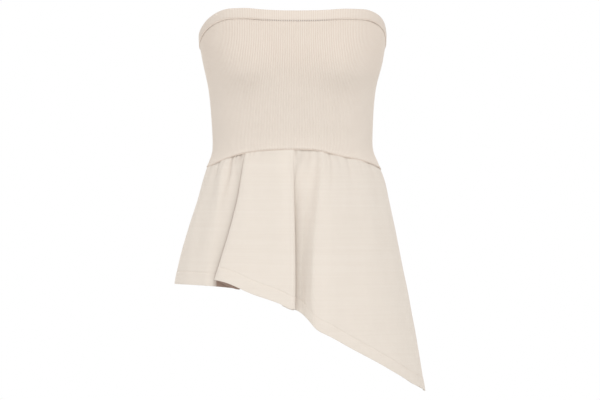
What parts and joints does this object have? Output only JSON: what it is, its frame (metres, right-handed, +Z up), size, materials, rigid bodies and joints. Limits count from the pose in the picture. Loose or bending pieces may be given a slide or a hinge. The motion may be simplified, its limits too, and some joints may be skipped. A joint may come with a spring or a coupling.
{
  "type": "strapless knit top",
  "caption": "Strapless rib-knit top in its worn, filled-out form, with a turned top band and a gathered peplum that slants down to one side.",
  "frame": {"origin": "on the wearer's body axis, level with the sides of the top band, where the band grips the chest", "axes": "+Z up along the body, -Y towards the front, +X to the wearer's left, the side that the hem falls on"},
  "size_m": [0.3763, 0.275, 0.5729],
  "materials": {
    "rib_knit": "matte fine rib knit in oatmeal",
    "plain_knit": "matte plain knit in oatmeal"
  },
  "bodies": {
    "root": {"top_band_front": "rib_knit", "top_band_back": "rib_knit", "bodice_front": "rib_knit", "bodice_back": "rib_knit", "peplum_front": "plain_knit", "peplum_back": "plain_knit"}
  },
  "joints": []
}
